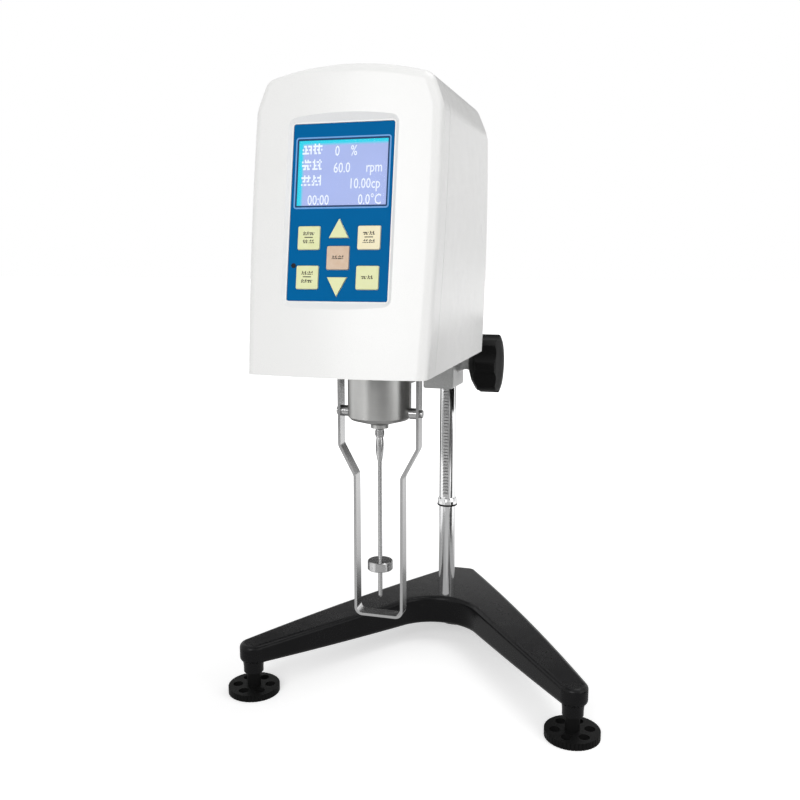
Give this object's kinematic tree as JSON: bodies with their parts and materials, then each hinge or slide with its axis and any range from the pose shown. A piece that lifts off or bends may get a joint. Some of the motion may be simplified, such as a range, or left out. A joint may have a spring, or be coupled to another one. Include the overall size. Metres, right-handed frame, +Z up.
{
  "type": "rotational viscometer",
  "caption": "Bench rotational viscometer: a measuring head with a display and keys climbs a rack column on a levelling base and turns a guarded spindle.",
  "frame": {"origin": "middle of the machine's footprint, on the table that its feet stand on", "axes": "+Z up, the display and spindle face -Y, the lift knob is on +X"},
  "size_m": [0.3244, 0.405, 0.4984],
  "materials": {
    "black_casting": "semi-gloss black enamel over a casting",
    "chrome": "bright chrome plate",
    "rack_steel": "cut steel, lightly oiled",
    "zinc_fasteners": "zinc plated",
    "guard_steel": "polished stainless strip",
    "spindle_steel": "turned and polished stainless steel",
    "boss_metal": "finely turned, satin",
    "carriage_grey": "grey hammer paint over cast aluminium",
    "floor_plate_metal": "milled plate",
    "black_plastic": "moulded black plastic, fine texture",
    "foot_stud_steel": "threaded rod",
    "black_rubber": "matt",
    "bronze": "sintered bronze",
    "nylon": "natural nylon",
    "white_shell": "glossy white moulding",
    "panel_blue": "printed polyester overlay",
    "key_yellow": "embossed key, pale yellow",
    "key_peach": "embossed key, pale peach",
    "key_salmon": "embossed key, salmon",
    "window_clear": "clear window",
    "display_face": "lit blue display",
    "circuit_green": "circuit board",
    "port_metal": "nickel plated shell",
    "motor_case": "laminated motor body",
    "pillar_aluminium": "turned",
    "jewel": "synthetic ruby",
    "spring_steel": "blued spring strip"
  },
  "bodies": {
    "stand": {"base_casting": "black_casting", "column": "chrome", "rack": "rack_steel", "stop_collar": "chrome", "collar_ring": "black_rubber", "column_nut": "zinc_fasteners", "column_washer": "zinc_fasteners"},
    "foot_left": {"foot_wheel_left": "black_plastic", "foot_stud_left": "foot_stud_steel"},
    "foot_right": {"foot_wheel_right": "black_plastic", "foot_stud_right": "foot_stud_steel"},
    "foot_rear": {"foot_wheel_rear": "black_plastic", "foot_stud_rear": "foot_stud_steel"},
    "head": {"carriage": "carriage_grey", "shaft_bushes": "bronze", "friction_pad": "nylon", "friction_screw": "zinc_fasteners", "arm_screws": "zinc_fasteners", "floor_plate": "floor_plate_metal", "front_shell": "white_shell", "rear_shell": "white_shell", "level_cup": "chrome", "level_glass": "window_clear", "key_overlay": "panel_blue", "display_window": "window_clear", "display_module": "display_face", "keypad_board": "circuit_green", "main_board": "circuit_green", "power_board": "circuit_green", "switch_body": "black_plastic", "power_inlet": "black_plastic", "serial_port": "port_metal", "probe_socket": "black_plastic", "spindle_boss": "boss_metal", "pivot_bearing": "jewel", "motor_body": "motor_case", "motor_plate": "floor_plate_metal", "plate_pillars": "pillar_aluminium", "sensor_board": "circuit_green", "guard": "guard_steel", "guard_screws": "guard_steel"},
    "knob": {"lift_knob": "black_plastic", "pinion_shaft": "rack_steel", "pinion": "rack_steel"},
    "rocker": {"power_rocker": "black_plastic"},
    "drive": {"motor_shaft": "spindle_steel", "drive_hub": "bronze", "drive_disc": "pillar_aluminium", "torsion_spring": "spring_steel"},
    "measuring_spindle": {"spindle_shaft": "spindle_steel", "torque_disc": "pillar_aluminium", "coupling_nut": "spindle_steel", "spindle": "spindle_steel"},
    "key_menu": {"key_menu": "key_yellow"},
    "key_speed": {"key_speed": "key_peach"},
    "key_start": {"key_start": "key_yellow"},
    "key_print": {"key_print": "key_yellow"},
    "key_enter": {"key_enter": "key_salmon"},
    "key_up": {"key_up": "key_yellow"},
    "key_down": {"key_down": "key_yellow"}
  },
  "joints": [
    {"name": "head_lift", "type": "slide", "parent": "stand", "child": "head", "axis": [0, 0, 1], "range_m": [-0.11, 0.1]},
    {"name": "knob_turn", "type": "hinge", "parent": "head", "child": "knob", "pos_m": [0, 0.10873, 0.2827], "axis": [1, 0, 0], "range_deg": [-956, 1052]},
    {"name": "drive_turn", "type": "hinge", "parent": "head", "child": "drive", "pos_m": [0, -0.10117, 0.345], "axis": [0, 0, 1], "continuous": true},
    {"name": "spindle_turn", "type": "hinge", "parent": "head", "child": "measuring_spindle", "pos_m": [0, -0.10117, 0.262], "axis": [0, 0, 1], "continuous": true},
    {"name": "power_switch", "type": "hinge", "parent": "head", "child": "rocker", "pos_m": [0.034, -0.01997, 0.335], "axis": [0, 0, -1], "range_deg": [0, 16]},
    {"name": "level_left", "type": "slide", "parent": "stand", "child": "foot_left", "axis": [0, 0, 1], "range_m": [-0.009, 0.001]},
    {"name": "level_right", "type": "slide", "parent": "stand", "child": "foot_right", "axis": [0, 0, 1], "range_m": [-0.009, 0.001]},
    {"name": "level_rear", "type": "slide", "parent": "stand", "child": "foot_rear", "axis": [0, 0, 1], "range_m": [-0.009, 0.001]},
    {"name": "press_key_menu", "type": "slide", "parent": "head", "child": "key_menu", "axis": [0, 0.986, -0.1668], "range_m": [0, 0.0005], "stiffness_N_per_m": 900, "springref_m": -0.0002},
    {"name": "press_key_speed", "type": "slide", "parent": "head", "child": "key_speed", "axis": [0, 0.986, -0.1668], "range_m": [0, 0.0005], "stiffness_N_per_m": 900, "springref_m": -0.0002},
    {"name": "press_key_start", "type": "slide", "parent": "head", "child": "key_start", "axis": [0, 0.986, -0.1668], "range_m": [0, 0.0005], "stiffness_N_per_m": 900, "springref_m": -0.0002},
    {"name": "press_key_print", "type": "slide", "parent": "head", "child": "key_print", "axis": [0, 0.986, -0.1668], "range_m": [0, 0.0005], "stiffness_N_per_m": 900, "springref_m": -0.0002},
    {"name": "press_key_enter", "type": "slide", "parent": "head", "child": "key_enter", "axis": [0, 0.986, -0.1668], "range_m": [0, 0.0005], "stiffness_N_per_m": 900, "springref_m": -0.0002},
    {"name": "press_key_up", "type": "slide", "parent": "head", "child": "key_up", "axis": [0, 0.986, -0.1668], "range_m": [0, 0.0005], "stiffness_N_per_m": 900, "springref_m": -0.0002},
    {"name": "press_key_down", "type": "slide", "parent": "head", "child": "key_down", "axis": [0, 0.986, -0.1668], "range_m": [0, 0.0005], "stiffness_N_per_m": 900, "springref_m": -0.0002}
  ],
  "couplings": [
    {"joint": "knob_turn", "follows": "head_lift", "rad_per_m": -166.67},
    {"joint": "spindle_turn", "follows": "drive_turn", "ratio": 1}
  ]
}
